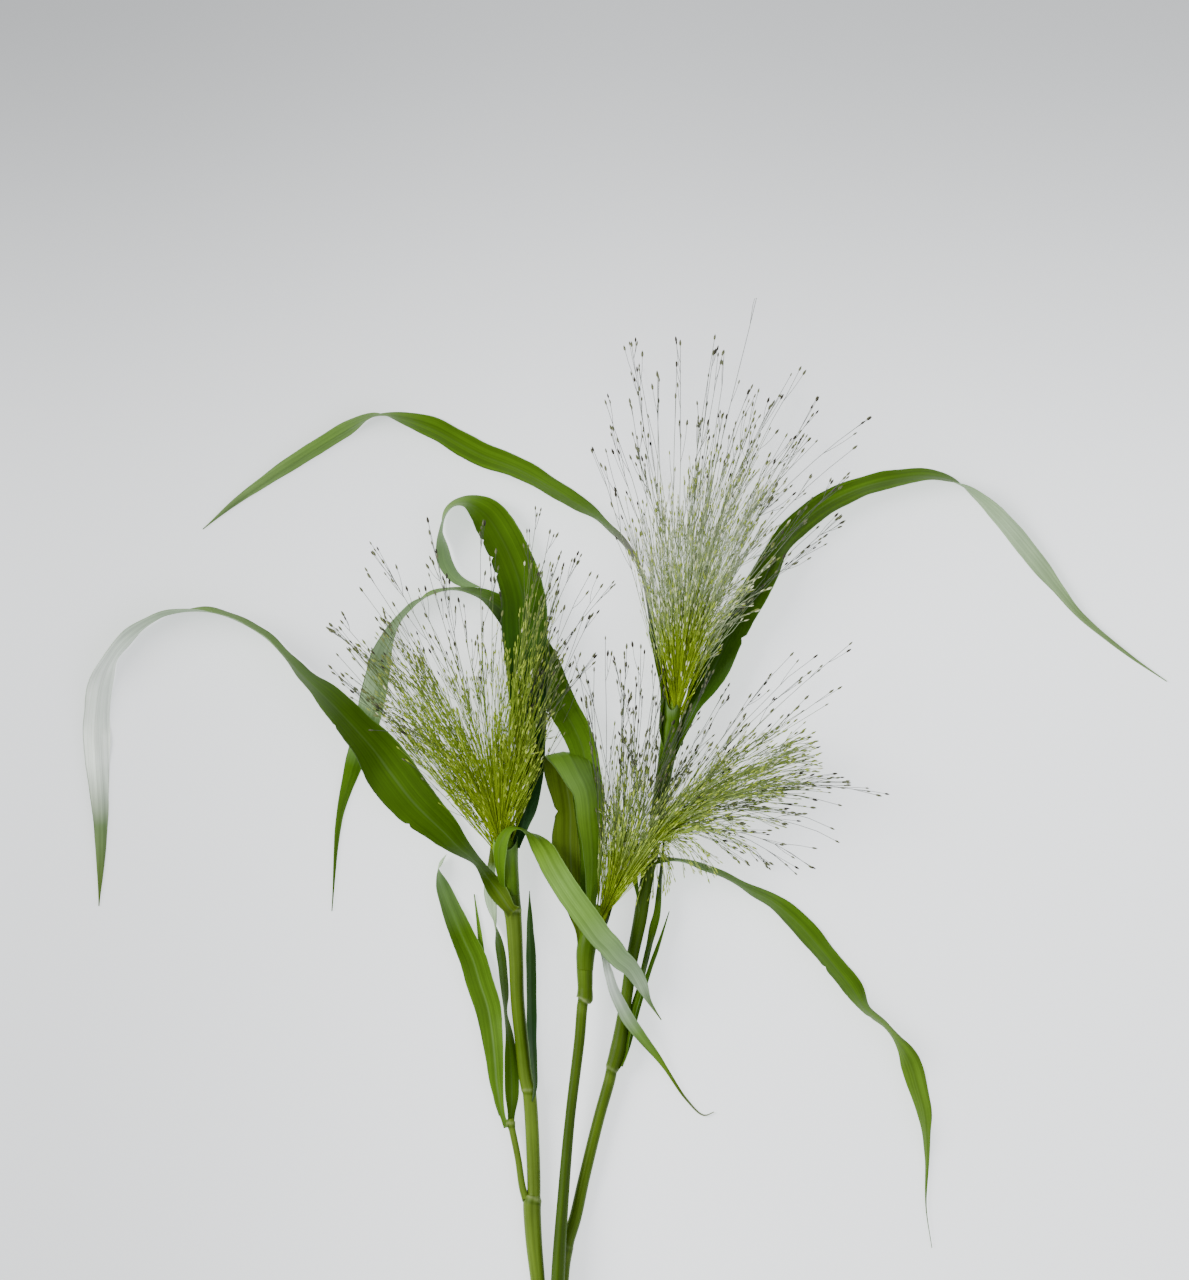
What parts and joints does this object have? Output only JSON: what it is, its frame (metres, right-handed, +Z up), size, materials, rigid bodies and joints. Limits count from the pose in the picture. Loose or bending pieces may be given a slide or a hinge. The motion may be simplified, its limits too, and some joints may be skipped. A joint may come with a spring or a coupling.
{
  "type": "fountain grass bunch",
  "caption": "Lying bunch of cut ornamental grass: leafy culms with long arching blades and airy, spreading seed heads, used as floral or garden dressing.",
  "frame": {"origin": "on the surface the bunch lies on, below the middle of its box", "axes": "+Y from the cut ends to the seed heads, +Z up from the surface, +X to the right as the picture shows it"},
  "size_m": [0.3624, 0.4386, 0.0288],
  "materials": {
    "culm": "satin, smooth green culm with paler joints",
    "blade": "satin ribbed green blade, paler and waxy below",
    "seed_head": "matte, fine green stalks with small husks"
  },
  "bodies": {
    "root": {"culm_left": "culm", "culm_middle": "culm", "culm_right": "culm", "side_shoot": "culm", "leaf_upper_left": "blade", "leaf_upper_right": "blade", "leaf_far_left": "blade", "leaf_looped": "blade", "leaf_ribbon": "blade", "leaf_folded": "blade", "leaf_flag": "blade", "leaf_lower_right": "blade", "leaf_thin_right": "blade", "leaf_spike": "blade", "leaf_short": "blade", "leaf_pointed": "blade", "leaf_shoot_tall": "blade", "leaf_shoot_left": "blade", "leaf_shoot_tip": "blade", "seed_head_left": "seed_head", "seed_head_middle": "seed_head", "seed_head_right": "seed_head"}
  },
  "joints": []
}
